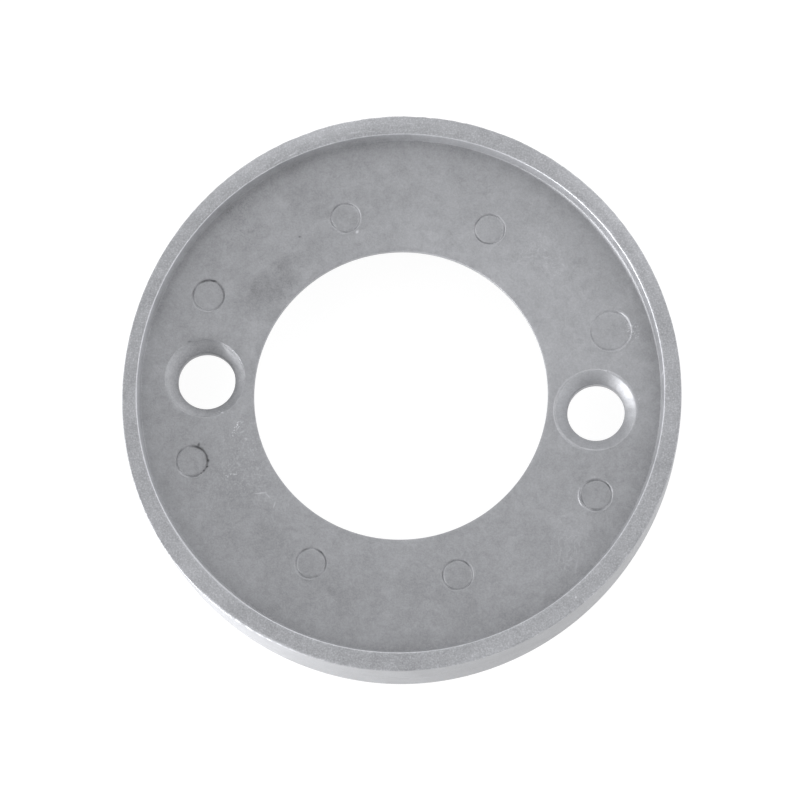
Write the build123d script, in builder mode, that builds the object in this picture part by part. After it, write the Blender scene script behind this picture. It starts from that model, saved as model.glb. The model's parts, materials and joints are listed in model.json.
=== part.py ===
from build123d import *
from math import radians, tan
import os

# Sacrificial anode ring: a die-cast zinc collar for a drive leg.
#
# The ring lies on its back face with the recessed working face up. The origin is on the bore's axis
# at the bottom of the back face, +Z comes out of the recessed face and +X runs through the two
# fixing holes. It is one casting, so it is one solid: a low rim round a flat floor, a large bore, two
# countersunk fixing holes and the eight round witness marks that the ejector pins leave. Behind the
# floor the casting is cored out, which leaves a web of even thickness inside a deep outer skirt.

# Whole ring
outer_diameter = 124.0        # across the rim's top, where the mould halves part
total_height = 20.0           # from the back face to the rim's top
outer_draft = 3.0             # degrees that the outer wall leans in toward the back
back_edge_break = 1.0         # flat break on the outer wall's lower edge
rim_edge_break = 0.3          # and on the rim's outer edge, where the flash was trimmed

# Recessed face
rim_width = 4.1               # flat top of the rim
recess_depth = 3.2            # rim top down to the floor
wall_run = 0.75               # how far the recess wall leans in over that depth
wall_foot_radius = 0.7        # fillet between the wall and the floor
rim_inner_break = 0.15        # the rim's inner edge is nearly sharp

# Web and hollow back
web_thickness = 4.5           # floor down to the roof of the hollow back
skirt_foot_width = 8.0        # seating ring at the back face
core_draft = 3.0              # degrees on the wall of the hollow
core_corner_radius = 2.0      # fillet where the hollow's wall meets the web
core_mouth_break = 0.5        # flat break on the hollow's lower edge

# Bore
floor_width = 24.9            # from the wall's foot in to the bore, which makes the bore 64.5 across
bore_land = 1.6               # true cylinder below the floor
bore_relief_angle = 35.0      # degrees off the axis, opening toward the back
bore_edge_break = 0.15        # the bore's upper edge

# Fixing holes, on one line with the bore's axis
hole_inset = 14.25            # wall's foot in to the hole's axis, which makes the pitch 85.8
hole_diameter = 12.6
countersink_diameter = 17.4
countersink_angle = 90.0      # included
soft_lip_radius = 0.9         # the left hole's countersink blends into the floor
crisp_lip_radius = 0.2        # the right hole's keeps an edge

# Ejector pin marks, eight evenly spaced ones
mark_step = 45.0              # degrees from one to the next
mark_first_angle = 22.2       # degrees from +X
outer_mark_inset = 8.95       # wall's foot in to the four beside the fixing holes
inner_mark_inset = 9.75       # bore out to the four between them
mark_diameter = 6.6
large_mark_diameter = 8.8     # one pin was larger
witness_width = 0.36          # the fine groove round each pin
witness_depth = 0.24
mark_sink = 0.08              # how far the pin's own face stood proud in the mould

# Derived levels and radii
outer_radius = outer_diameter / 2
floor_level = total_height - recess_depth
web_level = floor_level - web_thickness
back_radius = outer_radius - total_height * tan(radians(outer_draft))
rim_radius = outer_radius - rim_width
foot_radius = rim_radius - wall_run
bore_radius = foot_radius - floor_width
land_level = floor_level - bore_land
relief_radius = bore_radius + (land_level - web_level) * tan(radians(bore_relief_angle))
core_radius = back_radius - skirt_foot_width
core_roof_radius = core_radius - web_level * tan(radians(core_draft))
half_pitch = foot_radius - hole_inset
outer_mark_radius = foot_radius - outer_mark_inset
inner_mark_radius = bore_radius + inner_mark_inset


def edges_on_circle(part, radius, height, centre_x=0.0):
    """Edges that run round an upright axis on the X axis, at one radius and height."""
    return part.edges().filter_by(GeomType.CIRCLE).filter_by(
        lambda e: abs(e.radius - radius) < 1e-3
        and (e.arc_center - Vector(centre_x, 0, height)).length < 1e-3
    )


with BuildPart() as anode:
    # The whole section in one closed line, from the bore's edge outward over the rim and back
    # under the web.
    with BuildSketch(Plane.XZ) as section:
        with BuildLine():
            Polyline(
                (bore_radius, floor_level),
                (foot_radius, floor_level),
                (rim_radius, total_height),
                (outer_radius, total_height),
                (back_radius, 0),
                (core_radius, 0),
                (core_roof_radius, web_level),
                (relief_radius, web_level),
                (bore_radius, land_level),
                (bore_radius, floor_level),
            )
        make_face()
    revolve(axis=Axis.Z)

    # Inner corners are cast with a fillet, and outer edges have a small flat break.
    inner_corners = (
        (core_roof_radius, web_level, core_corner_radius),
        (foot_radius, floor_level, wall_foot_radius),
    )
    for radius, height, size in inner_corners:
        fillet(edges_on_circle(anode, radius, height), size)
    outer_edges = (
        (back_radius, 0, back_edge_break),
        (core_radius, 0, core_mouth_break),
        (outer_radius, total_height, rim_edge_break),
        (rim_radius, total_height, rim_inner_break),
        (bore_radius, floor_level, bore_edge_break),
    )
    for radius, height, size in outer_edges:
        chamfer(edges_on_circle(anode, radius, height), size)

    # Fixing holes, countersunk from the recessed face. The right one keeps a crisp edge.
    with Locations((half_pitch, 0, floor_level), (-half_pitch, 0, floor_level)):
        CounterSinkHole(
            radius=hole_diameter / 2,
            counter_sink_radius=countersink_diameter / 2,
            depth=web_thickness + core_corner_radius,
            counter_sink_angle=countersink_angle,
        )
    for centre_x, lip_radius in ((half_pitch, crisp_lip_radius), (-half_pitch, soft_lip_radius)):
        mouth = edges_on_circle(anode, countersink_diameter / 2, floor_level, centre_x)
        fillet(mouth, lip_radius)

    # Ejector marks: a face a little below the floor inside a fine groove.
    for i in range(round(360 / mark_step)):
        angle = mark_first_angle + i * mark_step
        beside_hole = abs(abs((angle + 90) % 180 - 90)) < mark_step
        circle_radius = outer_mark_radius if beside_hole else inner_mark_radius
        size = (large_mark_diameter if i == 0 else mark_diameter) / 2
        with BuildSketch(Plane.XY.offset(floor_level)):
            with PolarLocations(circle_radius, 1, start_angle=angle):
                Circle(size + witness_width / 2)
        extrude(amount=-mark_sink, mode=Mode.SUBTRACT)
        with BuildSketch(Plane.XY.offset(floor_level)):
            with PolarLocations(circle_radius, 1, start_angle=angle):
                Circle(size + witness_width / 2)
                Circle(size - witness_width / 2, mode=Mode.SUBTRACT)
        extrude(amount=-witness_depth, mode=Mode.SUBTRACT)

anode.part.label = "anode_ring"
os.makedirs("parts", exist_ok=True)
export_step(anode.part, "parts/anode_ring.step")
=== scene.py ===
# %% [markdown]
# A sacrificial anode ring, dressed for its picture.
# The imported CAD ring comes in as a fixed frame. Everything below is measured from it: its box gives
# the ring's width and height, and its mounts give the bore and the fixing holes.

# %% Load the imported ring
import json
import math

import bmesh
import bpy
import numpy as np
from mathutils import Matrix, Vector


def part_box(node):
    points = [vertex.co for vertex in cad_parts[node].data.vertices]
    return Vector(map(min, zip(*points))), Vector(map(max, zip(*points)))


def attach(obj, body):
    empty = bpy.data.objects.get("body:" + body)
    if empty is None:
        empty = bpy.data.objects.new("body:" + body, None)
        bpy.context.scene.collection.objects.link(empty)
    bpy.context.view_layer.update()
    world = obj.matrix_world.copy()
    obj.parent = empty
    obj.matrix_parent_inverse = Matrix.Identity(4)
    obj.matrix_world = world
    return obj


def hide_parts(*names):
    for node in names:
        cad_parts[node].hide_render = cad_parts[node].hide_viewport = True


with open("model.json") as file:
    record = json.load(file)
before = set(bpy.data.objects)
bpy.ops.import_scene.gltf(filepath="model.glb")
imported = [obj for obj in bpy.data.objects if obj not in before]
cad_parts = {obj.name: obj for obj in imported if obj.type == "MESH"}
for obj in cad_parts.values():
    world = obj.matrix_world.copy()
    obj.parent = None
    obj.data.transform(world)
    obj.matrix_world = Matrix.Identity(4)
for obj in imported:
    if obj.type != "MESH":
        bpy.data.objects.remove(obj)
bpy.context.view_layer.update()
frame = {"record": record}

MM = 0.001
mounts = {m["name"]: m for m in frame["record"]["mounts"]}
low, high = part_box("anode_ring")
print("ring from", tuple(round(v, 4) for v in low), "to", tuple(round(v, 4) for v in high))

# %% [markdown]
# The sizes that shape the casting. What the frame knows is read from it. The rest are the small
# sizes of a die casting: draft, wall, fillets, and the depth of the grooves that the ejector pins
# leave. All of them are in metres, because Blender's unit is the metre.

# %% Sizes of the casting
ring_radius = high.x
ring_height = high.z
bore_radius = mounts["bore"]["dims"]["r_mm"] * MM
hole_radius = mounts["fixing_holes"]["dims"]["hole_r_mm"] * MM
hole_circle = mounts["fixing_holes"]["dims"]["spacing_x_mm"] / 2 * MM

floor_level = ring_height - 3.2 * MM       # the recess is this deep
web_level = floor_level - 4.5 * MM         # underside of the floor
rim_inner_radius = ring_radius - 4.1 * MM
wall_foot_radius = rim_inner_radius - 0.75 * MM
back_radius = ring_radius - 1.03 * MM      # the outer wall leans in 3 degrees
core_radius = back_radius - 8.0 * MM       # the hollow behind, at its mouth
core_roof_radius = core_radius - 0.64 * MM
land_level = floor_level - 1.6 * MM        # the bore is a true cylinder down to here
relief_radius = bore_radius + 2.03 * MM    # and opens to this at the back of the web
sink_radius = 8.7 * MM                     # countersink, at the floor

floor_inner = bore_radius + 0.8 * MM       # the floor's cells reach from here
floor_outer = wall_foot_radius - 1.9 * MM  # to here
web_inner = relief_radius + 0.6 * MM
web_outer = core_roof_radius - 2.05 * MM

STEPS_PER_DEGREE = 2
TURN_STEPS = 360 * STEPS_PER_DEGREE        # segments round the ring
RADIAL_STEPS = 12                          # across a cell of the floor
turn = np.arange(TURN_STEPS) * 2 * np.pi / TURN_STEPS
print("bore", bore_radius, "hole circle", hole_circle, "floor level", floor_level)

# %% [markdown]
# The camera stands where the photographer's stood: almost straight over the ring, a little to its
# lower side, and far off through a long lens, so that the ring looks nearly parallel. It comes first,
# because marks, stains and patches of painted light and shade are named by the pixel where they show
# and are carried back along the camera's rays to the floor of the recess.

# %% Camera
PICTURE_SIZE = 800                         # pixels, square
PICTURE_TURN = math.radians(5.14)          # the ring's +X hangs this far below the picture's
VIEW_TILT = math.radians(11.48)            # off the ring's axis
VIEW_SIDE = math.radians(-72.68)           # round the ring from +X
VIEW_DISTANCE = 2.6
PIXELS_PER_METRE = 4560.3                  # at the floor of the recess
SENSOR_WIDTH = 36.0                        # mm
aim = np.array([-0.00006, -0.00114, floor_level])

toward_camera = np.array([math.sin(VIEW_TILT) * math.cos(VIEW_SIDE),
                          math.sin(VIEW_TILT) * math.sin(VIEW_SIDE), math.cos(VIEW_TILT)])
picture_up = np.array([-math.sin(PICTURE_TURN), math.cos(PICTURE_TURN), 0.0])


def facing(forward, upright):
    """Three axes of a camera or lamp that looks against forward: right, up and forward."""
    right = np.cross(upright, forward)
    right /= np.linalg.norm(right)
    return right, np.cross(forward, right), forward


def placed(axes, spot):
    """The 4 x 4 matrix with the axes and the spot as its columns."""
    return Matrix([[*row] for row in np.column_stack([*axes, spot])] + [[0, 0, 0, 1]])


right, up, _ = facing(toward_camera, picture_up)
eye = aim + toward_camera * VIEW_DISTANCE
camera_data = bpy.data.cameras.new("camera")
camera_data.sensor_width = SENSOR_WIDTH
camera_data.lens = SENSOR_WIDTH * PIXELS_PER_METRE * VIEW_DISTANCE / PICTURE_SIZE
camera_data.clip_end = 20.0
camera = bpy.data.objects.new("camera", camera_data)
camera.matrix_world = placed((right, up, toward_camera), eye)
bpy.context.collection.objects.link(camera)
bpy.context.scene.camera = camera
print("lens", round(camera_data.lens, 1), "mm at", VIEW_DISTANCE, "m")


def picture_point(pixel_x, pixel_y, level=floor_level):
    """Where the ray through a pixel meets a level, at first the recess floor: eye + t ray."""
    focus = PIXELS_PER_METRE * VIEW_DISTANCE
    ray = ((pixel_x - PICTURE_SIZE / 2) * right - (pixel_y - PICTURE_SIZE / 2) * up) / focus
    ray = ray - toward_camera
    return eye + ray * (level - eye[2]) / ray[2]


# %% [markdown]
# A cast section is a line of straight runs with round corners. It could be drawn as a Bezier curve
# and bevelled, but a short list of corners, each with its own round, keeps the real sizes readable
# and gives points close together only where the line turns.


# %% Helper: a line with rounded corners
def rounded_line(corners, steps=5):
    """Points along a line through corners of (radius, height, round).

    Each inner corner is replaced by an arc of its round. The arc's centre lies on the line that
    halves the corner, at round / sin(half the corner's angle) from it, and the arc runs between the
    two points where it touches the sides.
    """
    line = []
    for i, (radius, height, size) in enumerate(corners):
        corner = np.array([radius, height])
        if i in (0, len(corners) - 1) or size == 0:
            line.append(corner[None])
            continue
        back = np.array(corners[i - 1][:2]) - corner
        ahead = np.array(corners[i + 1][:2]) - corner
        back, ahead = back / np.hypot(*back), ahead / np.hypot(*ahead)
        half = np.arccos(np.clip(back @ ahead, -1, 1)) / 2
        middle = (back + ahead) / np.hypot(*(back + ahead))
        centre = corner + middle * size / np.sin(half)
        first, last = (corner + side * size / np.tan(half) - centre for side in (back, ahead))
        start = np.arctan2(first[1], first[0])
        sweep = (np.arctan2(last[1], last[0]) - start + np.pi) % (2 * np.pi) - np.pi
        angle = start + sweep * np.linspace(0, 1, steps)
        line.append(centre + size * np.stack([np.cos(angle), np.sin(angle)], 1))
    return np.concatenate(line)


# %% [markdown]
# The whole skin is one closed surface, made of grids that share their edge points. A grid is an
# array of points in rows and columns. This helper keeps the grids until all of them are there, and
# joins neighbours with four-sided faces. A grid that goes right round closes on its first column.


# %% Helper: collect grids of points
skin_points, skin_faces = [], []


def add_grid(points, closed):
    """Adds rows x columns x 3 points. Face i, j joins point i, j with its right, upper right and
    upper neighbours, and the last column joins the first if the grid is closed."""
    rows, columns = points.shape[:2]
    start = sum(len(p) for p in skin_points)
    index = start + np.arange(rows * columns).reshape(rows, columns)
    across = np.concatenate([index, index[:, :1]], 1) if closed else index
    faces = np.stack([across[:-1, :-1], across[:-1, 1:], across[1:, 1:], across[1:, :-1]], -1)
    skin_points.append(points.reshape(-1, 3))
    skin_faces.append(faces.reshape(-1, 4))


def swept(radius, height):
    """Points of a section carried round the axis: x = radius cos(turn), y = radius sin(turn)."""
    return np.stack(np.broadcast_arrays(radius * np.cos(turn), radius * np.sin(turn), height), -1)


# %% [markdown]
# The ring isn't even all round. The mould halves part at the rim's outer edge, so a thin flash
# stands there and is filed off by hand, and each stroke of the file leaves a short step. That could
# be sculpted. Three plain lines round the ring give it with numbers that can be changed: a bell that
# is 1 at one angle and fades to both sides, a ragged wave, and a saw line of uneven strokes.


# %% Helpers: what changes round the ring
def bell(picture_degree, width, angle=turn):
    """exp(-(angle apart / width) squared), with the angle counted in the picture from its right."""
    apart = np.angle(np.exp(1j * (angle - PICTURE_TURN - np.radians(picture_degree))))
    return np.exp(-(apart / np.radians(width)) ** 2)


def ragged(seed, slowest, fastest):
    """Sum of cosines of k turn + phase for whole k from slowest to fastest, with random phases and
    weights, scaled so that its usual size is 1. Whole waves close on themselves."""
    random = np.random.default_rng(seed)
    k = np.arange(slowest, fastest)[:, None]
    weight = random.normal(size=k.shape) / np.sqrt(k)
    line = (weight * np.cos(k * turn + random.uniform(0, 2 * np.pi, k.shape))).sum(0)
    return line / line.std()


def file_strokes(seed, shortest, longest):
    """Saw line: each stroke starts 1 low and rises evenly to 0, times a random size of its own."""
    random = np.random.default_rng(seed)
    starts = np.cumsum(np.radians(random.uniform(shortest, longest, 400)))
    starts = np.concatenate([[0.0], starts[starts < 2 * np.pi - np.radians(shortest)], [2 * np.pi]])
    stroke = np.searchsorted(starts, turn, side="right") - 1
    along = (turn - starts[stroke]) / (starts[stroke + 1] - starts[stroke])
    return (along - 1) * random.uniform(0.25, 1.0, len(starts))[stroke]


# %% [markdown]
# The rim, the outer wall and the hollow behind are one section carried round the axis. Its points
# run from the floor of the recess up the wall, over the rim, down the outer wall and up into the
# hollow. A Screw modifier would turn one section evenly. On this casting the corner where the wall
# meets the floor is much rounder at the upper right, so two sections are blended round the ring.

# %% Rim, outer wall and hollow back
FLASH = 0.05 * MM                          # the rim's flat lies this much under its highest flash
FOOT_ROUND = 0.15 * MM                     # in the corner between the recess wall and the floor
SOFT_FOOT_ROUND = 1.0 * MM                 # and the same at the upper right
flat_level = ring_height - FLASH
lean = (ring_radius - back_radius) / ring_height


def rim_section(foot_round):
    """Corners with their rounds, from the floor over the rim and down to the back of the web."""
    return rounded_line([
        (floor_outer, floor_level, 0),
        (wall_foot_radius, floor_level, foot_round),
        (rim_inner_radius, flat_level, 0.3 * MM),
        *((rim_inner_radius + across * MM, flat_level, 0)
          for across in (0.8, 1.8, 2.6, 3.3, 3.72)),
        (ring_radius, flat_level, 0.16 * MM),
        *((ring_radius - down * MM * lean, ring_height - down * MM, 0)
          for down in (0.7, 1.6, 3.5, 9.0)),
        (back_radius, 0, 1.0 * MM),
        (core_radius, 0, 0.6 * MM),
        (core_roof_radius, web_level, 2.0 * MM),
        (web_outer, web_level, 0),
    ])


soft_foot = bell(38, 22)[:, None]
section = (soft_foot * rim_section(SOFT_FOOT_ROUND)[:, None]
           + (1 - soft_foot) * rim_section(FOOT_ROUND)[:, None])
radius, height = section[..., 0], section[..., 1]
print("section of", len(section), "points")

# %% [markdown]
# Then handwork and wear change the section. Each change is an amount in millimetres that varies
# round the ring, times a mask that says which part of the section it moves: the whole outer side, its
# corner, the narrow facet that the file left on that corner, the inner lip, or the wall's upper half.
# The outer side is ground back most on the left and a little on the right, and the facet is widest at
# the lower left.


# %% File work and wear on the rim
def by_corner(corner_radius, reach):
    """exp(-(distance from a corner of the rim's top / reach) squared) at each point."""
    return np.exp(-(np.hypot(radius - corner_radius, height - ring_height) / reach) ** 2)


outside = np.clip((radius - rim_inner_radius - 0.3 * MM) / (2.2 * MM), 0, 1)
up_the_wall = height / ring_height
trim = by_corner(ring_radius, 0.6 * MM)
facet = by_corner(ring_radius, 0.3 * MM)
lip = by_corner(rim_inner_radius, 0.45 * MM)
wall_top = by_corner(rim_inner_radius, 1.5 * MM)

# how much in mm, and for each bell its middle and width in degrees of the picture
ground_back = 1.12 * bell(165, 40) + 0.5 * bell(22, 34) - 0.28 * bell(215, 18)
lower_edge_out = 0.62 * bell(269, 28) + 0.15 * bell(240, 15) - 0.33 * bell(334, 24)
strokes = file_strokes(3, 2.2, 4.2) * (0.05 + 0.14 * bell(232, 18) + 0.1 * bell(85, 30))
ripple = ragged(4, 15, 150) * (0.015 + 0.03 * bell(85, 35) + 0.06 * bell(300, 35))
lip_waves = ragged(5, 8, 120) * (0.012 + 0.035 * bell(110, 40) + 0.02 * bell(30, 25))
outer_chamfer = 0.12 * bell(318, 30)
filed_facet = bell(237, 17) * (0.27 + 0.05 * ragged(6, 20, 160))
lip_wear = 0.1 * bell(35, 32)
lip_inward = 0.26 * bell(224, 18)
radius = radius + MM * (
    - outside * up_the_wall ** 2 * ground_back
    + outside * (1 - up_the_wall) * lower_edge_out
    + trim * (strokes + np.minimum(ripple, 0)) + lip * (lip_waves + lip_wear)
    - wall_top * lip_inward)
height = height + trim * (np.clip(ripple * 20, 0, 0.8) * FLASH - outer_chamfer * MM)
height = height - facet * filed_facet * MM
height = height + lip * (np.minimum(lip_waves, 0) - lip_wear) * MM
add_grid(swept(radius, height), closed=True)
print("ground back by up to", round(float(ground_back.max()), 2), "mm")

# %% [markdown]
# The bore's wall is a short true cylinder that opens toward the back, so nothing of it shows from
# the front. It could be a cylinder cut out of the floor. A section carried round the axis, as for
# the rim, also gives its rounded edges.

# %% Bore
section = rounded_line([
    (floor_inner, floor_level, 0),
    (bore_radius, floor_level, 0.15 * MM),
    (bore_radius, land_level, 0.3 * MM),
    (relief_radius, web_level, 0.3 * MM),
    (web_inner, web_level, 0),
], steps=4)
add_grid(swept(section[:, :1], section[:, 1:]), closed=True)
print("bore:", len(section), "points across")

# %% [markdown]
# The floor is flat but not plain: it has two countersunk holes and eight pin marks. A boolean cut
# would leave long thin faces that shade badly. Instead the floor is divided into ten cells, each
# with one round feature in it. Inside a cell the points lie on rays from the feature's centre:
# circles near it, and then the circle changes evenly into the cell's own outline, whose points
# match those of its neighbours.


# %% Helper: the outline of a cell and its rays
def cell_rays(first_degree, last_degree, inner, outer, centre):
    """Points round a cell of a ring, and the direction and length of the rays to them.

    The outline runs along the inner arc, out, back along the outer arc and in again, with
    RADIAL_STEPS points on a straight side and STEPS_PER_DEGREE on each degree of an arc.
    """
    arc = np.radians(np.linspace(first_degree, last_degree,
                                 round((last_degree - first_degree) * STEPS_PER_DEGREE) + 1))
    side = np.linspace(inner, outer, RADIAL_STEPS + 1)
    reach = np.concatenate([np.full(len(arc) - 1, inner), side[:-1],
                            np.full(len(arc) - 1, outer), side[:0:-1]])
    angle = np.concatenate([arc[:-1], np.full(RADIAL_STEPS, arc[-1]),
                            arc[:0:-1], np.full(RADIAL_STEPS, arc[0])])
    outline = np.stack([reach * np.cos(angle), reach * np.sin(angle)], -1)
    ray = outline - centre
    return np.unwrap(np.arctan2(ray[:, 1], ray[:, 0])), np.hypot(ray[:, 0], ray[:, 1])


def around(centre, direction, distance, height):
    """Points at a distance along each ray: x = centre + distance cos(direction), and so on."""
    direction, distance, height = np.broadcast_arrays(direction, distance, height)
    return np.stack([centre[0] + distance * np.cos(direction),
                     centre[1] + distance * np.sin(direction), height], -1)


# %% [markdown]
# An ejector pin pushes the casting out while it is still warm. Its face prints a disc, and metal
# that creeps into the gap round the pin leaves a fine groove with a low burr outside it. Each disc
# stands a little proud or sunk, because no two pins are the same length. The height over the floor
# is worked out from the distance to the pin's axis.


# %% Helper: the height of a pin mark
WOBBLE = 0.04 * MM                         # how far a groove strays from its circle


def uneven(direction, seed):
    """Sum of five cosines of whole turns round the pin, between about -1 and 1."""
    random = np.random.default_rng(seed)
    k = np.arange(2, 7)[:, None]
    return (np.cos(k * direction + random.uniform(0, 2 * np.pi, k.shape))
            * random.uniform(0.1, 0.45, k.shape)).sum(0)


def mark_height(from_pin, direction, seed, proud, groove, burr, side):
    """Height by the distance past the pin's radius: a disc that is proud with a soft step, less a
    bell for the groove, plus a bell for the burr outside it. Groove and burr come and go, and the
    burr is highest across from the side with the painted shade: 1 - 0.7 cos(direction - side)."""
    disc = 1 / (1 + np.exp(from_pin / (0.07 * MM)))
    cut = np.exp(-(from_pin / (0.2 * MM)) ** 2) * (1 + 0.5 * uneven(direction, seed))
    raised = np.exp(-((from_pin - 0.45 * MM) / (0.18 * MM)) ** 2)
    raised = raised * (0.7 + 0.8 * uneven(direction, seed + 50))
    raised = raised * (1 - 0.7 * np.cos(direction - PICTURE_TURN - np.radians(side)))
    return disc * proud - groove * cut + burr * raised


# %% [markdown]
# Eight marks lie on the floor, and each has its own place, size and wear. They are rows of one table,
# read off the photo, and one loop makes all of them. Circles of points stand close together only
# across the groove, and from there the cell widens to its outline.

# %% Ejector pin marks
# first and last degree of the cell, the pixel of the pin's middle and its radius in mm, then in mm
# how proud it stands, how deep its groove is and how high the burr, then how dark the groove's dirt
# and painted shade is and on which side of the mark the painted shade lies, in degrees of the picture
pin_marks = [
    (15, 35, 610.6, 330.9, 4.35, -0.10, 0.14, 0.06, 0.6, 215),
    (35, 90, 489.5, 229.2, 3.25, 0.02, 0.22, 0.02, 1.0, 185),
    (90, 145, 345.4, 217.8, 3.2, -0.01, 0.18, 0.03, 0.7, 150),
    (145, 165, 208.5, 295.5, 3.36, 0.18, 0.20, 0.08, 1.4, 70),
    (195, 215, 191.9, 461.3, 3.36, 0.14, 0.20, 0.04, 1.5, 45),
    (215, 270, 310.9, 563.2, 3.25, 0.14, 0.20, 0.05, 1.1, 60),
    (270, 325, 457.5, 574.8, 3.25, 0.04, 0.22, 0.05, 0.8, 120),
    (325, 345, 596.2, 494.8, 3.36, -0.07, 0.22, 0.13, 0.8, 50),
]
for number, row in enumerate(pin_marks):
    first, last, pixel_x, pixel_y, pin, proud, groove, burr, _, side = row
    centre = picture_point(pixel_x, pixel_y)[:2]
    pin = pin * MM
    direction, reach = cell_rays(first, last, floor_inner, floor_outer, centre)
    inside = np.linspace(0, pin - 0.46 * MM, 5)
    across_groove = np.linspace(pin - 0.38 * MM, pin + 0.86 * MM, 17)
    distance = np.concatenate([inside, across_groove])[:, None]
    wobble = WOBBLE * uneven(direction, number + 100)
    height = mark_height(distance - pin - wobble, direction, number,
                         proud * MM, groove * MM, burr * MM, side)
    fade = np.clip((distance[-1] - distance) / (0.2 * MM), 0, 1)
    disc = around(centre, direction, distance, floor_level + height * fade)
    share = np.linspace(0, 1, 9)[1:, None] ** 1.4
    beyond = distance[-1] + share * (reach - distance[-1])
    flat = around(centre, direction, beyond, floor_level)
    add_grid(np.concatenate([disc, flat]), closed=True)
print(len(pin_marks), "pin marks")

# %% [markdown]
# A fixing hole goes through the web, so its cell has a front and a back. One grid runs from the
# front outline in to the countersink, down the hole and out again to the back outline. The left
# countersink has a soft lip and lies a little off its hole's axis. The right one is a cone with a
# crisp edge, and a low bead stands round it, where the mould's core pin met its face.


# %% Fixing holes
def fixing_hole(first, last, degree, mouth, dent, off_centre=(0.0, 0.0)):
    """One grid: rays of the front cell, then the hole's section as circles, then rays of the back
    cell. Down the hole the rays' directions change evenly from the front cell's to the back's, and
    the countersink's offset fades from all at its mouth to none at the hole and at the outline."""
    centre = hole_circle * np.array([np.cos(np.radians(degree)), np.sin(np.radians(degree))])
    front, front_reach = cell_rays(first, last, floor_inner, floor_outer, centre)
    back, back_reach = cell_rays(first, last, web_inner, web_outer, centre)
    section = rounded_line([
        *((hole_radius + out * MM, floor_level + up * MM, size * MM) for out, up, size in mouth),
        (hole_radius, web_level, 0.1 * MM),
        (hole_radius + 0.2 * MM, web_level, 0),
    ])
    down = np.linspace(0, 1, len(section))[:, None]
    on_cone = np.exp(-((section[:, :1] - hole_radius - 0.9 * MM) / (0.9 * MM)) ** 2)
    dents = dent * uneven(front * 5, round(degree)) * on_cone
    wall = around(centre, front + down * (back - front), section[:, :1], section[:, 1:] + dents)
    on_front = section[:, 1] > land_level - 1 * MM
    opened = np.clip((section[:, 0] - hole_radius) / (1.5 * MM), 0, 1) * on_front
    wall[..., :2] += opened[:, None, None] * np.array(off_centre)
    share = np.linspace(1, 0, 9)[:-1, None] ** 1.3
    lead_in = around(centre, front, section[0, 0] + share * (front_reach - section[0, 0]), floor_level)
    lead_in[..., :2] += (1 - share[..., None]) * np.array(off_centre)
    share = np.linspace(0, 1, 6)[1:, None]
    lead_out = around(centre, back, section[-1, 0] + share * (back_reach - section[-1, 0]), web_level)
    add_grid(np.concatenate([lead_in, wall, lead_out]), closed=True)


# corners of each mouth in mm: out from the hole's wall, up from the floor, and the corner's round
fixing_hole(-15, 15, 0, dent=0.09 * MM, mouth=[
    (3.4, 0, 0), (3.05, 0, 0.2), (2.7, 0.13, 0.12), (2.4, 0, 0.1), (0, -2.2, 0.6)])
fixing_hole(165, 195, 180, dent=0.05 * MM, off_centre=(-0.3 * MM, 0.28 * MM), mouth=[
    (3.4, 0, 0), (2.5, 0, 0.3), (2.2, -0.33, 0.3), (0, -1.7, 0.5)])
print("holes", round(2 * hole_circle / MM, 1), "mm apart")

# %% [markdown]
# Between the two hole cells the back of the web is plain, so it is a simple grid in turn and
# radius. Its ends match the sides of the hole cells, and no cut or fill is needed there.

# %% Back of the web
for first, last in ((15, 165), (195, 345)):
    arc = np.radians(np.linspace(first, last, (last - first) * STEPS_PER_DEGREE + 1))
    side = np.linspace(web_inner, web_outer, RADIAL_STEPS + 1)[:, None]
    level = np.full((len(side), len(arc)), web_level)
    add_grid(np.stack([side * np.cos(arc), side * np.sin(arc), level], -1), closed=False)
print(len(skin_points), "grids")

# %% [markdown]
# All grids become one mesh. They could stay separate shells that touch, but light and bevels treat
# a casting rightly only as one closed skin. So points that two grids share are merged, and then
# Blender can tell inside from outside and turn every face outward.

# %% Weld the skin
MERGE_DISTANCE = 0.002 * MM
faces = np.concatenate(skin_faces)
mesh = bpy.data.meshes.new("anode_casting")
mesh.from_pydata(np.concatenate(skin_points).tolist(), [], faces.tolist())
work = bmesh.new()
work.from_mesh(mesh)
bmesh.ops.remove_doubles(work, verts=work.verts, dist=MERGE_DISTANCE)
bmesh.ops.dissolve_degenerate(work, edges=work.edges, dist=MERGE_DISTANCE / 2)
bmesh.ops.recalc_face_normals(work, faces=work.faces)
open_edges = sum(1 for e in work.edges if len(e.link_faces) != 2)
volume = work.calc_volume()
work.to_mesh(mesh)
work.free()
mesh.polygons.foreach_set("use_smooth", np.ones(len(mesh.polygons), bool))
casting = bpy.data.objects.new("anode_casting", mesh)
bpy.context.collection.objects.link(casting)
triangles = sum(len(p.vertices) - 2 for p in mesh.polygons)
print("casting:", triangles, "triangles,", open_edges, "open edges,",
      round(volume * 1e6, 2), "cubic cm")
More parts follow.
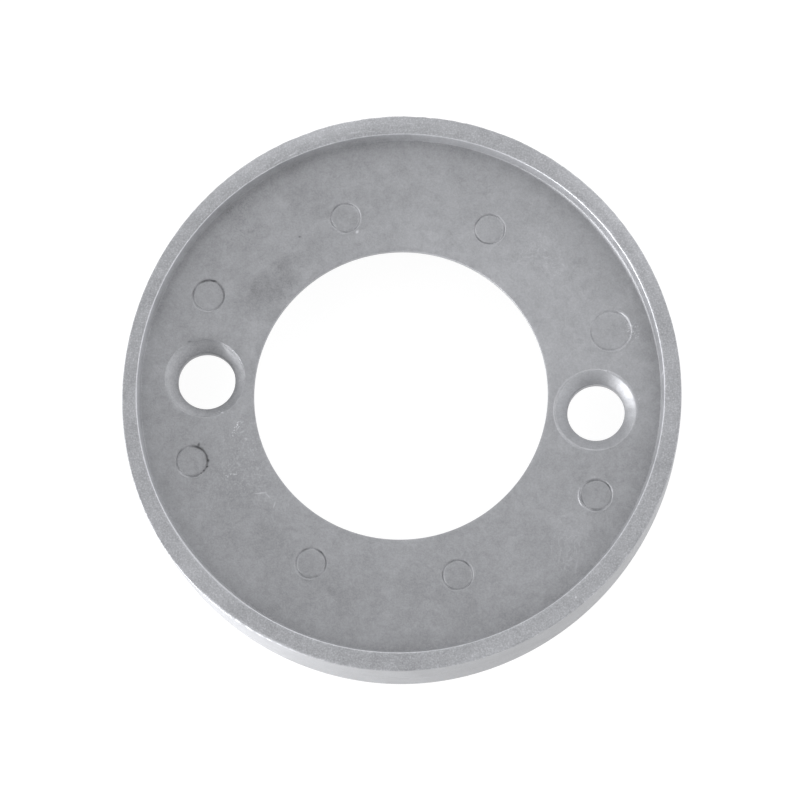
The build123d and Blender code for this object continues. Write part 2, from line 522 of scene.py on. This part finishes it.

# %% [markdown]
# Mould dressing and dirt stay in the narrow grooves round the pins, and the grooves are darkened
# further as painted shade, most on the side of each mark given in its row. The foot of the recess wall
# is darkened too, as painted shade. They could be painted by hand. Here every point of the mesh gets
# a number that the finish reads. It is about 1 in the middle of a groove and fades within a fraction
# of a millimetre, and it comes and goes round the pin just as the groove's depth does.

# %% Dirt and painted shade at each point
places = np.empty(len(mesh.vertices) * 3)
mesh.vertices.foreach_get("co", places)
places = places.reshape(-1, 3)
from_axis = np.hypot(places[:, 0], places[:, 1])
heading = np.arctan2(places[:, 1], places[:, 0])
foot = np.array([wall_foot_radius - 0.05 * MM, floor_level + 0.1 * MM])
to_foot = np.hypot(from_axis - foot[0], places[:, 2] - foot[1])
# painted shade at the foot of the recess wall, less at the upper right and more at the left
foot_shade = 0.33 - 0.2 * bell(38, 22, heading) + 0.1 * bell(165, 48, heading)
dirt_and_shade = np.exp(-(to_foot / (0.4 * MM)) ** 2) * foot_shade
for number, row in enumerate(pin_marks):
    _, _, pixel_x, pixel_y, pin, _, _, _, dark, side = row
    offset = places[:, :2] - picture_point(pixel_x, pixel_y)[:2]
    direction = np.arctan2(offset[:, 1], offset[:, 0])
    wobble = WOBBLE * uneven(direction, number + 100)
    off_groove = np.hypot(offset[:, 0], offset[:, 1]) - pin * MM - wobble
    off_groove = off_groove / (0.24 * MM * max(dark, 1))
    # painted shade, heaviest on the side of the mark given in its row
    one_sided = 0.55 + 0.45 * np.cos(direction - PICTURE_TURN - np.radians(side))
    amount = dark * one_sided * (1 + 0.5 * uneven(direction, number))
    dirt_and_shade = np.maximum(dirt_and_shade, amount * np.exp(-off_groove ** 2))
dirt_and_shade[places[:, 2] < land_level] = 0
print("dirt on", int((dirt_and_shade > 0.02).sum()), "points")

# %% [markdown]
# The rim's outer part is lighter at the top, the upper right and a little at the lower right of the
# picture, and its flat is darker at the bottom and the left. The walls, the inner lip, the filed facet
# and the floor beside the left wall get painted light and shade by the way they face the light:
# painted highlights where they face it and painted shade where they turn away. A second number, tone,
# is the share by which a place is lighter or darker than the plain skin. Again it is an amount times
# a bell round the ring times a mask across the section.

# %% Tone, painted light and painted shade at each point
across_rim = (from_axis - rim_inner_radius) / (ring_radius - rim_inner_radius)
outer_part = np.clip((across_rim - 0.3) / 0.4, 0, 1)
# the rim's outer part lighter at the top, upper right and lower right, its flat darker at the bottom
# and left
tone_and_painted_light = outer_part * (0.3 * bell(109, 23, heading) + 0.26 * bell(41, 20, heading)
                     + 0.08 * bell(300, 20, heading))
on_flat = np.clip(across_rim / 0.1, 0, 1)
tone_and_painted_light += on_flat * (-0.08 * bell(262, 30, heading) - 0.04 * bell(190, 25, heading))
# painted highlight on the inner lip, strongest at the left and upper right, and painted shade on it at
# the upper left
inner_lip = np.exp(-((from_axis - rim_inner_radius + 0.05 * MM) / (0.2 * MM)) ** 2)
tone_and_painted_light += inner_lip * (0.35 * bell(185, 48, heading) - 0.15 * bell(128, 22, heading)
                     + 0.15 * bell(60, 10, heading))
tone_and_painted_light[places[:, 2] < ring_height - 0.8 * MM] = 0
on_front = places[:, 2] > land_level
# painted light on the floor beside the recess wall at the left
by_the_wall = np.exp(-((wall_foot_radius - from_axis) / (3.2 * MM)) ** 2)
tone_and_painted_light += by_the_wall * (from_axis < wall_foot_radius) * on_front * 0.19 * bell(176, 36, heading)
# painted light and shade on the recess wall: lighter at the left, top and upper left, darker at the
# upper right
recess_wall = (from_axis > wall_foot_radius) & (from_axis < rim_inner_radius) & on_front
tone_and_painted_light += recess_wall * (0.06 * bell(185, 35, heading) - 0.14 * bell(25, 24, heading)
                       + 0.12 * bell(80, 14, heading) + 0.13 * bell(138, 24, heading))
# painted highlight on the outer wall at the lower left, which faces the lamp, and painted shade at the
# lower right
outer_wall = (from_axis > back_radius - 1 * MM) & (places[:, 2] < ring_height - 0.3 * MM)
tone_and_painted_light += outer_wall * (0.45 * bell(230, 20, heading) - 0.08 * bell(300, 30, heading))
off_corner = np.hypot(from_axis - ring_radius, places[:, 2] - ring_height)
# painted highlight on the rim's outer corner at the lower left, where the filed facet faces the lamp
tone_and_painted_light += np.exp(-(off_corner / (0.4 * MM)) ** 4) * 0.9 * bell(242, 12, heading)
print("tone from", round(float(tone_and_painted_light.min()), 2), "to", round(float(tone_and_painted_light.max()), 2))

# %% [markdown]
# The third number is polish, about 1 where the metal was left smooth: on the filed facet of the rim,
# all over the right cone, and on the lit side of the left countersink's lip. The rest of the left
# cone is dull, and it is darkened with painted shade, which goes into the same number as the dirt and
# so also makes it rougher. On a cone the mask is a soft step in the distance from the hole's axis,
# 1 / (1 + exp(distance past the step / softness)), and on a lip it is a narrow bell.

# %% Polish at each point
polish = np.exp(-(off_corner / (0.6 * MM)) ** 4) * bell(232, 15, heading)
for side, cone_polish, lip_polish, cone_shade in ((1, 0.8, 0.8, 0.0), (-1, 0.1, 1.2, 0.7)):
    from_hole = np.hypot(places[:, 0] - side * hole_circle, places[:, 1])
    near = (from_hole < sink_radius + 0.8 * MM) & (places[:, 2] > web_level + 0.3 * MM)
    round_hole = np.arctan2(places[:, 1], places[:, 0] - side * hole_circle)
    lip_here = np.exp(-((from_hole - sink_radius + 0.1 * MM) / (0.24 * MM)) ** 2)
    lip_here *= bell(40, 30, round_hole)
    on_cone = 1 / (1 + np.exp((from_hole - sink_radius + 0.2 * MM) / (0.15 * MM)))
    on_cone /= 1 + np.exp((hole_radius + 0.7 * MM - from_hole) / (0.12 * MM))
    polish[near] = (on_cone * cone_polish + lip_here * (lip_polish - cone_polish))[near]
    # painted shade down the left cone
    down_the_cone = 1 / (1 + np.exp((from_hole - sink_radius + 0.6 * MM) / (0.15 * MM)))
    dirt_and_shade[near] = np.maximum(dirt_and_shade, down_the_cone * cone_shade)[near]
print("polish on", int((polish > 0.02).sum()), "points")

# %% [markdown]
# The three numbers are stored on the mesh as attributes, which travel with it. Then the casting takes
# the place of the plain CAD ring in the frame and rides on the frame's only body.

# %% Store the numbers and hand the casting over
for title, values in (("dirt_and_shade", dirt_and_shade), ("tone_and_painted_light", tone_and_painted_light), ("polish", polish)):
    attribute = mesh.attributes.new(title, "FLOAT", "POINT")
    attribute.data.foreach_set("value", values.astype(np.float32))
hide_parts("anode_ring")
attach(casting, "root")
print("attributes:", [a.name for a in mesh.attributes if a.name in ("dirt_and_shade", "tone_and_painted_light", "polish")])

# %% [markdown]
# Materials are built from nodes. Small helpers keep that readable: one adds a node and fills its
# inputs, and the others stand for a sum, a smooth step, a product or a noise. An input may be a
# number, a colour or another node's output.


# %% Helpers for nodes
def add_node(tree, kind, settings=None, **inputs):
    """Adds a node, applies its settings, and fills or links its inputs. An underscore in an input's
    name stands for a space, and i0, i1 and so on name inputs by their order."""
    node = tree.nodes.new(kind)
    for name, value in (settings or {}).items():
        setattr(node, name, value)
    for name, value in inputs.items():
        by_order = name[0] == "i" and name[1:].isdigit()
        socket = node.inputs[int(name[1:])] if by_order else node.inputs[name.replace("_", " ")]
        if isinstance(value, bpy.types.NodeSocket):
            tree.links.new(value, socket)
        else:
            socket.default_value = value
    return node


def arithmetic(tree, operation, a, b=0.0, c=0.0):
    """One operation on up to three numbers."""
    node = add_node(tree, "ShaderNodeMath", {"operation": operation}, i0=a, i1=b, i2=c)
    return node.outputs[0]


def vectors(tree, operation, *values, output=0):
    """One operation on vectors. A length or a dot product comes out of output 1."""
    inputs = {f"i{order}": value for order, value in enumerate(values)}
    node = add_node(tree, "ShaderNodeVectorMath", {"operation": operation}, **inputs)
    return node.outputs[output]


def plus(tree, base, mask, amount):
    """base + mask times amount."""
    return arithmetic(tree, "MULTIPLY_ADD", mask, amount, base)


def step(tree, value, low, high, to_low=0.0, to_high=1.0):
    """A smooth step from to_low to to_high as the value goes from low to high."""
    node = add_node(tree, "ShaderNodeMapRange", {"interpolation_type": "SMOOTHSTEP"}, Value=value,
                    From_Min=low, From_Max=high, To_Min=to_low, To_Max=to_high)
    return node.outputs[0]


def product(tree, *factors):
    """All factors multiplied, one after the other."""
    result = factors[0]
    for factor in factors[1:]:
        result = arithmetic(tree, "MULTIPLY", result, factor)
    return result


def noise(tree, place, scale, detail, roughness, distortion=0.0):
    """A cloudy noise around 0.5, with scale waves to the metre."""
    node = add_node(tree, "ShaderNodeTexNoise", Vector=place, Scale=scale, Detail=detail,
                    Roughness=roughness, Distortion=distortion)
    return node.outputs[0]


# %% [markdown]
# A node group is a small network with named inputs and outputs, built once and placed like a single
# node. Its nodes could be copied into each material, but then a change would have to be made in every
# copy.


# %% Helper: a new node group
def new_group(name, inputs, outputs):
    """A node group with its sockets. Returns the group, its inputs and its output node."""
    group = bpy.data.node_groups.new(name, "ShaderNodeTree")
    for title, kind in inputs:
        group.interface.new_socket(title, in_out="INPUT", socket_type="NodeSocket" + kind)
    for title in outputs:
        group.interface.new_socket(title, in_out="OUTPUT", socket_type="NodeSocketFloat")
    return group, group.nodes.new("NodeGroupInput").outputs, group.nodes.new("NodeGroupOutput").inputs


# %% [markdown]
# Cast zinc has no colour pattern of its own, but it is never even. Where the metal met the cold
# mould in several streams it sets in cloudy flow marks. Over that lie fine wavy lines where one
# stream folded over another, and a fine grain. The skin is the same on the whole casting, so it is
# one node group. An image could show it, but noise needs no unwrapping and has no edge. A fold is a
# low step where a noise passes its middle value, a seam is a thin line where another does, and specks
# are the few places where a fine noise is high.

# %% Node group: cast skin
cast_skin, inputs, outputs = new_group(
    "cast_skin", [("Vector", "Vector")], ("Clouds", "Streams", "Grain", "Folds", "Seams", "Specks"))
place = inputs["Vector"]
clouds = noise(cast_skin, place, 75.0, 4.0, 0.55, 0.8)        # about 13 mm wide
streams = noise(cast_skin, place, 420.0, 4.0, 0.65, 0.8)      # about 2.5 mm
grain = noise(cast_skin, place, 2600.0, 2.0, 0.7)             # about 0.4 mm
folding = noise(cast_skin, place, 230.0, 3.0, 0.6, 3.0)
folds = step(cast_skin, folding, 0.47, 0.5)
meeting = noise(cast_skin, place, 330.0, 1.0, 0.5, 2.0)
off_middle = arithmetic(cast_skin, "ABSOLUTE", arithmetic(cast_skin, "SUBTRACT", meeting, 0.5))
seams = step(cast_skin, off_middle, 0.005, 0.03, 1.0, 0.0)
specks = step(cast_skin, noise(cast_skin, place, 2600.0, 2.0, 0.6), 0.54, 0.64)
for title, mask in (("Clouds", clouds), ("Streams", streams), ("Grain", grain), ("Folds", folds),
                    ("Seams", seams), ("Specks", specks)):
    cast_skin.links.new(mask, outputs[title])
print("cast_skin:", len(cast_skin.nodes), "nodes")

# %% [markdown]
# Stains, pits and scuffs are soft ellipses, and so are the broad pools of painted light and shade on
# the floor. A gradient texture is round too, but it would need a mapping for each. The group measures
# how far a point is from the middle of one, in its own long and wide direction, and fades from 1
# inside to 0 at its edge.

# %% Node group: soft ellipse
soft_ellipse, inputs, outputs = new_group(
    "soft_ellipse", [("Vector", "Vector"), ("Middle", "Vector"), ("Turn", "Float"), ("Size", "Vector")],
    ("Mask",))
from_middle = vectors(soft_ellipse, "SUBTRACT", inputs["Vector"], inputs["Middle"])
turned = add_node(soft_ellipse, "ShaderNodeVectorRotate", {"rotation_type": "Z_AXIS", "invert": True},
                  Vector=from_middle, Angle=inputs["Turn"]).outputs[0]
scaled = vectors(soft_ellipse, "DIVIDE", turned, inputs["Size"])
share_out = vectors(soft_ellipse, "LENGTH", scaled, output=1)
soft_ellipse.links.new(step(soft_ellipse, share_out, 0.15, 1.0, 1.0, 0.0), outputs["Mask"])
print("soft_ellipse:", len(soft_ellipse.nodes), "nodes")

# %% [markdown]
# The rim's flat was rubbed by the mould and the file, so it is brighter than the skin. Its inner edge
# is brighter too, worn and with a painted highlight, and the corner at the foot of the recess wall is
# a little darker, as painted shade. This group finds them by radius and height. It also gives file
# strokes: a noise that is drawn out along the rim, because its first two coordinates only tell the
# direction from the axis, stretched to the rim's length.

# %% Node group: rubbed places, painted highlight and painted shade
STROKE_FINENESS = 8.0                      # times finer across the rim than along it
wear_and_shade, inputs, outputs = new_group(
    "wear_and_shade", [("Vector", "Vector")], ("Rim", "Edge", "Corner", "Strokes"))
upward = add_node(wear_and_shade, "ShaderNodeSeparateXYZ", i0=inputs["Vector"]).outputs["Z"]
flat = vectors(wear_and_shade, "MULTIPLY", inputs["Vector"], (1, 1, 0))
from_axis = vectors(wear_and_shade, "LENGTH", flat, output=1)
near_top = step(wear_and_shade, upward, ring_height - 0.35 * MM, ring_height - 0.15 * MM)
past_edge = step(wear_and_shade, from_axis, rim_inner_radius - 0.02 * MM, rim_inner_radius + 0.1 * MM)
wear_and_shade.links.new(product(wear_and_shade, near_top, past_edge), outputs["Rim"])
# Edge: the worn inner edge of the rim, also brightened as a painted highlight
edge_in = step(wear_and_shade, from_axis, rim_inner_radius - 0.12 * MM, rim_inner_radius - 0.02 * MM)
edge_out = step(wear_and_shade, from_axis, rim_inner_radius + 0.08 * MM, rim_inner_radius + 0.2 * MM, 1.0, 0.0)
upper = step(wear_and_shade, upward, ring_height - 0.5 * MM, ring_height - 0.3 * MM)
wear_and_shade.links.new(product(wear_and_shade, edge_in, edge_out, upper), outputs["Edge"])
# Corner: painted shade at the foot of the recess wall
inward = step(wear_and_shade, from_axis, rim_inner_radius - 0.2 * MM, rim_inner_radius, 1.0, 0.0)
beyond_floor = step(wear_and_shade, from_axis, wall_foot_radius - 5 * MM, wall_foot_radius - 0.3 * MM)
on_front = step(wear_and_shade, upward, floor_level - 1 * MM, floor_level)
wear_and_shade.links.new(product(wear_and_shade, inward, beyond_floor, on_front), outputs["Corner"])
heading = vectors(wear_and_shade, "NORMALIZE", flat)
section_place = arithmetic(wear_and_shade, "ADD", product(wear_and_shade, from_axis, STROKE_FINENESS),
                           product(wear_and_shade, upward, STROKE_FINENESS))
across = add_node(wear_and_shade, "ShaderNodeCombineXYZ", Z=section_place).outputs[0]
drawn_out = vectors(wear_and_shade, "MULTIPLY_ADD", heading, (ring_radius,) * 3, across)
wear_and_shade.links.new(noise(wear_and_shade, drawn_out, 350.0, 3.0, 0.7, 0.5), outputs["Strokes"])
print("rubbed:", len(wear_and_shade.nodes), "nodes")

# %% [markdown]
# This casting's own marks are lists. Each row is one soft ellipse at the pixel where it shows, so a
# mark can be moved, turned or taken out by its row. Some rows are no marks but painted light: pools
# of painted light by the bore and to the right, painted shade at the bottom, at the lower left and
# along the upper left wall, and bits of painted highlight on the right countersink's lip. Painting an
# image would do as well, but it couldn't be read or changed like this.

# %% Where the marks and the painted light and shade are
# pixel where it shows, long and wide size in pixels, turn in the picture, change in shade
stains_and_painted_light = [
    # painted light by the bore and to the right, then painted shade at the bottom and lower left
    (500, 340, 190, 170, 45, 0.13),
    (440, 360, 205, 205, 0, 0.13),
    (620, 395, 95, 60, 80, 0.08),
    (400, 600, 170, 50, 0, -0.07),
    (250, 520, 110, 60, -45, -0.05),
    # stains and flow marks of the skin
    (280, 278, 54, 22, 28, -0.19),
    (256, 298, 20, 14, 20, -0.11),
    (248, 350, 40, 14, 80, 0.07),
    (578, 545, 34, 16, 60, 0.07),
    (237, 222, 34, 26, 20, -0.05),
    # painted shade along the recess wall at the upper left
    (160, 310, 60, 18, 75, -0.05),
]
# places where wavy seams show and where small bright specks do, with how strongly
seam_patches = [
    (238, 220, 50, 38, 30, -0.14),
    (545, 262, 60, 40, -40, 0.17),
    (280, 285, 50, 26, 28, -0.12),
    (570, 545, 44, 26, 70, 0.16),
]
specks_and_glints = [
    (242, 431, 17, 9, 60, 0.9),
    (235, 474, 12, 4, 0, 0.5),
    (225, 412, 14, 8, -30, 0.35),
    (240, 470, 60, 40, 60, 0.12),
    (633, 332, 6, 12, -10, 0.5),
    # painted highlight: bits of the glint on the right countersink's lip
    (604, 373, 8, 4, 0, 0.5),
    (636, 397, 3, 6, -10, 0.4),
    (618, 378, 12, 4, -40, 0.3),
]
# scratches, scuffs and pits in the floor, and strokes on the rim
scratches = [
    (260, 493, 9, 1.2, 5, 0.50),
    (268, 495.5, 5, 1.1, -40, 0.35),
    (275, 504.5, 6, 1.0, 72, 0.35),
    (235, 474, 5, 0.9, 0, 0.25),
    (260, 475, 8, 0.9, -5, 0.22),
    (238, 430, 4, 1.2, 60, 0.30),
    (243, 433, 4, 1.4, 20, 0.35),
    (247, 440, 3, 1.6, -30, 0.40),
    (222.5, 412.5, 2.2, 1.6, 0, 0.60),
    (357, 232, 3.0, 2.0, 70, 0.70),
    (299.5, 236.5, 2.4, 1.6, 0, -0.45),
    (190, 342, 2.2, 1.5, 0, -0.35),
    (213, 281, 5, 1.6, -10, -0.45),
    (198.2, 444.8, 2.6, 2.0, 60, -0.55),
    (207.3, 460.5, 1.8, 2.4, 0, -0.40),
    (206.6, 467.2, 1.8, 1.6, 0, -0.45),
    (203.6, 471, 1.8, 1.5, 30, -0.45),
    (201.4, 473, 1.6, 1.3, 30, -0.40),
    (577, 565, 12, 1.2, 85, 0.15),
    (560, 555, 14, 1.2, 80, 0.12),
    (552, 548, 12, 1.1, 85, 0.10),
]
rim_strokes = [
    (294, 153, 10, 1.3, 32, 0.35),
    (278, 161, 9, 1.2, 36, 0.30),
    (356, 132, 12, 1.4, 12, 0.30),
    (371, 131, 7, 1.2, 5, 0.30),
    (662, 372, 3.0, 1.6, 70, 0.40),
    (666, 386, 2.6, 1.4, 60, 0.35),
    (668, 398, 2.6, 1.6, 80, 0.30),
    (576, 597, 2.4, 1.4, 70, 0.70),
]
print(sum(map(len, (stains_and_painted_light, seam_patches, specks_and_glints, scratches, rim_strokes))), "ellipses")

# %% [markdown]
# Two helpers bring masks into the shade. Swing is for a noise, which lies round one half and so can
# darken as well as lighten. The other goes through a list of ellipses and adds one after the other.
# Mix nodes could do both, but a sum is easier to follow and to measure.


# %% Helpers: swing and ellipses
def swing(tree, shade, mask, amount):
    """The shade plus amount times what the mask is above one half."""
    return plus(tree, shade, arithmetic(tree, "SUBTRACT", mask, 0.5), amount)


ELLIPSE_HEIGHT = 0.02                      # metres, so that it hardly fades with the height


def add_ellipses(tree, shade, place, ellipses, level=floor_level):
    """The shade plus each ellipse's change times its mask, with pixels carried to a level."""
    for pixel_x, pixel_y, long, wide, degree, change in ellipses:
        size = (long / PIXELS_PER_METRE, wide / PIXELS_PER_METRE, ELLIPSE_HEIGHT)
        mask = add_node(tree, "ShaderNodeGroup", {"node_tree": soft_ellipse}, Vector=place,
                        Middle=tuple(picture_point(pixel_x, pixel_y, level)),
                        Turn=math.radians(degree) + PICTURE_TURN, Size=size).outputs["Mask"]
        shade = plus(tree, shade, mask, change)
    return shade


# %% [markdown]
# The finish itself. Base colour is a cool middle grey, times a shade that starts near 1 and gains or
# loses a few percent by each mask, some of which are painted light and shade. Stains, the pools of
# painted light and shade, and seams wander a little, because the place at which their ellipses are
# looked up is bent by a coloured noise.

# %% Cast zinc: colour
ZINC = (0.345, 0.350, 0.368)
BEND = 0.012                               # metres between the ends of the wandering
BEND_OF_MARKS = 0.12                       # share of it for the small marks
zinc = bpy.data.materials.new("cast_zinc_skin")
zinc.use_nodes = True
tree = zinc.node_tree
tree.nodes.clear()
place = add_node(tree, "ShaderNodeTexCoord").outputs["Object"]
skin = add_node(tree, "ShaderNodeGroup", {"node_tree": cast_skin}, Vector=place).outputs
wear_and_shade_here = add_node(tree, "ShaderNodeGroup", {"node_tree": wear_and_shade}, Vector=place).outputs
dirt_and_shade_here, tone_and_painted_light_here, smooth = (
    add_node(tree, "ShaderNodeAttribute", {"attribute_name": title}).outputs["Fac"]
    for title in ("dirt_and_shade", "tone_and_painted_light", "polish"))

shade = swing(tree, 1.02, skin["Clouds"], 0.36)
shade = swing(tree, shade, skin["Streams"], 0.4)
grain_amount = plus(tree, 0.48, wear_and_shade_here["Rim"], 0.45)
grain_amount = plus(tree, grain_amount, smooth, -0.25)
shade = swing(tree, shade, skin["Grain"], grain_amount)
shade = swing(tree, shade, skin["Folds"], 0.025)
shade = swing(tree, shade, wear_and_shade_here["Strokes"], product(tree, wear_and_shade_here["Rim"], 0.35))
wander = add_node(tree, "ShaderNodeTexNoise", Vector=place, Scale=130.0, Detail=3.0).outputs["Color"]
wander = vectors(tree, "MULTIPLY_ADD", wander, (BEND,) * 3, (-BEND / 2,) * 3)
bent_place = vectors(tree, "ADD", place, wander)
shade = add_ellipses(tree, shade, bent_place, stains_and_painted_light)
seam_amount = add_ellipses(tree, 0.0, bent_place, seam_patches)
shade = plus(tree, shade, skin["Seams"], seam_amount)
speck_and_glint_amount = add_ellipses(tree, 0.0, bent_place, specks_and_glints)
speck_and_glint_amount = plus(tree, speck_and_glint_amount, wear_and_shade_here["Rim"], 0.12)
shade = plus(tree, shade, skin["Specks"], speck_and_glint_amount)
bent_a_little = vectors(tree, "MULTIPLY_ADD", wander, (BEND_OF_MARKS,) * 3, place)
marks_in_skin = add_ellipses(tree, 0.0, bent_a_little, scratches)
marks_in_skin = add_ellipses(tree, marks_in_skin, bent_a_little, rim_strokes, ring_height)
shade = arithmetic(tree, "ADD", shade, marks_in_skin)
# tone, with its painted light and shade on the walls, lip, facet and floor
shade = arithmetic(tree, "ADD", shade, tone_and_painted_light_here)
# the rubbed rim, the worn edge with its painted highlight, painted shade in the corner, and dirt with
# painted shade from the mesh
for mask, amount in ((wear_and_shade_here["Rim"], 0.12), (wear_and_shade_here["Edge"], 0.5), (wear_and_shade_here["Corner"], -0.05), (dirt_and_shade_here, -0.35)):
    shade = plus(tree, shade, mask, amount)
colour = add_node(tree, "ShaderNodeVectorMath", {"operation": "SCALE"}, i0=ZINC, Scale=shade).outputs[0]
print("colour:", len(tree.nodes), "nodes")

# %% [markdown]
# The surface is metal under a thin dull skin, so it is only partly metallic and rather rough. Where
# it was polished, the roughness falls unevenly, more in some flow marks than in others, which breaks
# up the glints. The grain lifts the surface by hundredths of a millimetre through a Bump node, which
# is enough for texture that is finer than any face of the mesh. Polish wears the grain away, and
# where it is strongest the flow marks themselves stand out.

# %% Cast zinc: roughness, relief and surface
rough = plus(tree, 0.36, skin["Streams"], 0.12)
rough = plus(tree, rough, wear_and_shade_here["Edge"], -0.12)
uneven_polish = step(tree, skin["Streams"], 0.42, 0.58, 0.05, 0.28)
rough = arithmetic(tree, "SUBTRACT", rough, product(tree, smooth, uneven_polish))
rough = plus(tree, rough, dirt_and_shade_here, 0.3)
relief = swing(tree, skin["Grain"], skin["Folds"], 0.5)
relief = product(tree, relief, plus(tree, 1.0, smooth, -0.8))
burnished = step(tree, smooth, 0.45, 0.75, 0.0, 6.0)
relief = plus(tree, relief, skin["Streams"], burnished)
raised = add_node(tree, "ShaderNodeBump", Strength=0.6, Distance=0.03 * MM, Height=relief)
surface = add_node(tree, "ShaderNodeBsdfPrincipled", Base_Color=colour, Metallic=0.35, Roughness=rough,
                   Normal=raised.outputs[0])
add_node(tree, "ShaderNodeOutputMaterial", Surface=surface.outputs[0])
casting.data.materials.append(zinc)
print("zinc:", len(tree.nodes), "nodes")

# %% [markdown]
# The stage is a plain white table that keeps the ring's shadow. A brighter lamp would whiten it too,
# but the ring with it. So what the camera sees of it, and what the metal mirrors, is mostly its own
# light, and all other rays meet plain paper.

# %% Table
REACH = 3.0                                # metres to each side
GAP = 0.1 * MM                             # keeps the table off the ring's lowest points
PAPER_GREY = 0.82
SEEN_GREY = 0.15                           # takes the shadow
SEEN_GLOW = 0.93
table_mesh = bpy.data.meshes.new("stage_table")
corners = [(x * REACH, y * REACH, -GAP) for x, y in ((-1, -1), (1, -1), (1, 1), (-1, 1))]
table_mesh.from_pydata(corners, [], [(0, 1, 2, 3)])
table = bpy.data.objects.new("stage_table", table_mesh)
bpy.context.collection.objects.link(table)
paper = bpy.data.materials.new("white_paper")
paper.use_nodes = True
tree = paper.node_tree
tree.nodes.clear()
rays = add_node(tree, "ShaderNodeLightPath").outputs
seen = arithmetic(tree, "MAXIMUM", rays["Is Camera Ray"], rays["Is Glossy Ray"])
seen = arithmetic(tree, "MAXIMUM", seen, rays["Is Transmission Ray"])
plain = add_node(tree, "ShaderNodeBsdfDiffuse", Color=(PAPER_GREY,) * 3 + (1,))
faint = add_node(tree, "ShaderNodeBsdfDiffuse", Color=(SEEN_GREY,) * 3 + (1,))
glow = add_node(tree, "ShaderNodeEmission", Color=(1, 1, 1, 1), Strength=SEEN_GLOW)
lit = add_node(tree, "ShaderNodeAddShader", i0=faint.outputs[0], i1=glow.outputs[0])
either = add_node(tree, "ShaderNodeMixShader", i0=seen, i1=plain.outputs[0], i2=lit.outputs[0])
add_node(tree, "ShaderNodeOutputMaterial", Surface=either.outputs[0])
table_mesh.materials.append(paper)
print("table:", 2 * REACH, "m square")

# %% [markdown]
# The light is that of a small picture tent: soft boxes all round the ring, low at its sides and a
# little higher behind. A soft box could be an area lamp, but those would mirror as hard squares in
# the metal. In the world a box is only a direction: its strength is the cosine of the angle to it,
# raised to a power, which fades evenly.

# %% World
# direction in the picture, height over the table in degrees, and strength of each soft box
soft_boxes = [
    (190, 20, 2.86),
    (-10, 20, 1.73),
    (75, 25, 2.12),
    (310, 20, 0.79),
]
BOX_POWER = 4.0


def toward(picture_degree, rise_degree):
    """Unit vector from the ring to a light, counted in the picture from its right side."""
    sideways = math.radians(picture_degree) + PICTURE_TURN
    rise = math.radians(rise_degree)
    return np.array([math.cos(rise) * math.cos(sideways), math.cos(rise) * math.sin(sideways),
                     math.sin(rise)])


world = bpy.data.worlds.new("tent")
bpy.context.scene.world = world
world.use_nodes = True
tree = world.node_tree
tree.nodes.clear()
way = add_node(tree, "ShaderNodeTexCoord").outputs["Generated"]
tent_strength = 0.0
for picture_degree, rise_degree, box_strength in soft_boxes:
    cosine = vectors(tree, "DOT_PRODUCT", way, tuple(toward(picture_degree, rise_degree)), output=1)
    faded = arithmetic(tree, "POWER", arithmetic(tree, "MAXIMUM", cosine, 0.0), BOX_POWER)
    tent_strength = plus(tree, tent_strength, faded, box_strength)
upward = add_node(tree, "ShaderNodeSeparateXYZ", i0=way).outputs["Z"]
above_table = arithmetic(tree, "GREATER_THAN", upward, 0.0)
tent = add_node(tree, "ShaderNodeBackground", Color=(1, 1, 1, 1),
                Strength=product(tree, tent_strength, above_table))
white = add_node(tree, "ShaderNodeBackground", Color=(1, 1, 1, 1), Strength=1.0)
either = add_node(tree, "ShaderNodeMixShader",
                  i0=add_node(tree, "ShaderNodeLightPath").outputs["Is Camera Ray"],
                  i1=tent.outputs[0], i2=white.outputs[0])
add_node(tree, "ShaderNodeOutputWorld", Surface=either.outputs[0])
print(len(soft_boxes), "soft boxes")

# %% [markdown]
# One true lamp, a wide low strip, stands at the lower left, hardly higher than the rim, and picks out
# every wall and burr that faces it. A stronger soft box would do that too, but it would light the
# floor as well, while a strip as low as this one only grazes it.

# %% Lamp
LAMP_DISTANCE = 0.7                        # metres
LAMP_WATTS = 4.1
lamp_data = bpy.data.lights.new("low_left", "AREA")
lamp_data.shape = "RECTANGLE"
lamp_data.size = 0.55                      # metres wide
lamp_data.size_y = 0.12                    # and high
lamp_data.energy = LAMP_WATTS
lamp = bpy.data.objects.new("low_left", lamp_data)
lamp.visible_camera = False
bpy.context.collection.objects.link(lamp)
aimed = toward(picture_degree=208, rise_degree=7)
lamp.matrix_world = placed(facing(aimed, [0, 0, 1]), aimed * LAMP_DISTANCE)
print("lamp of", LAMP_WATTS, "W at", LAMP_DISTANCE, "m")

# %% [markdown]
# Colours are shown as they are written, without a film look, so that a grey stays that grey.

# %% Finish
bpy.context.scene.view_settings.view_transform = "Standard"
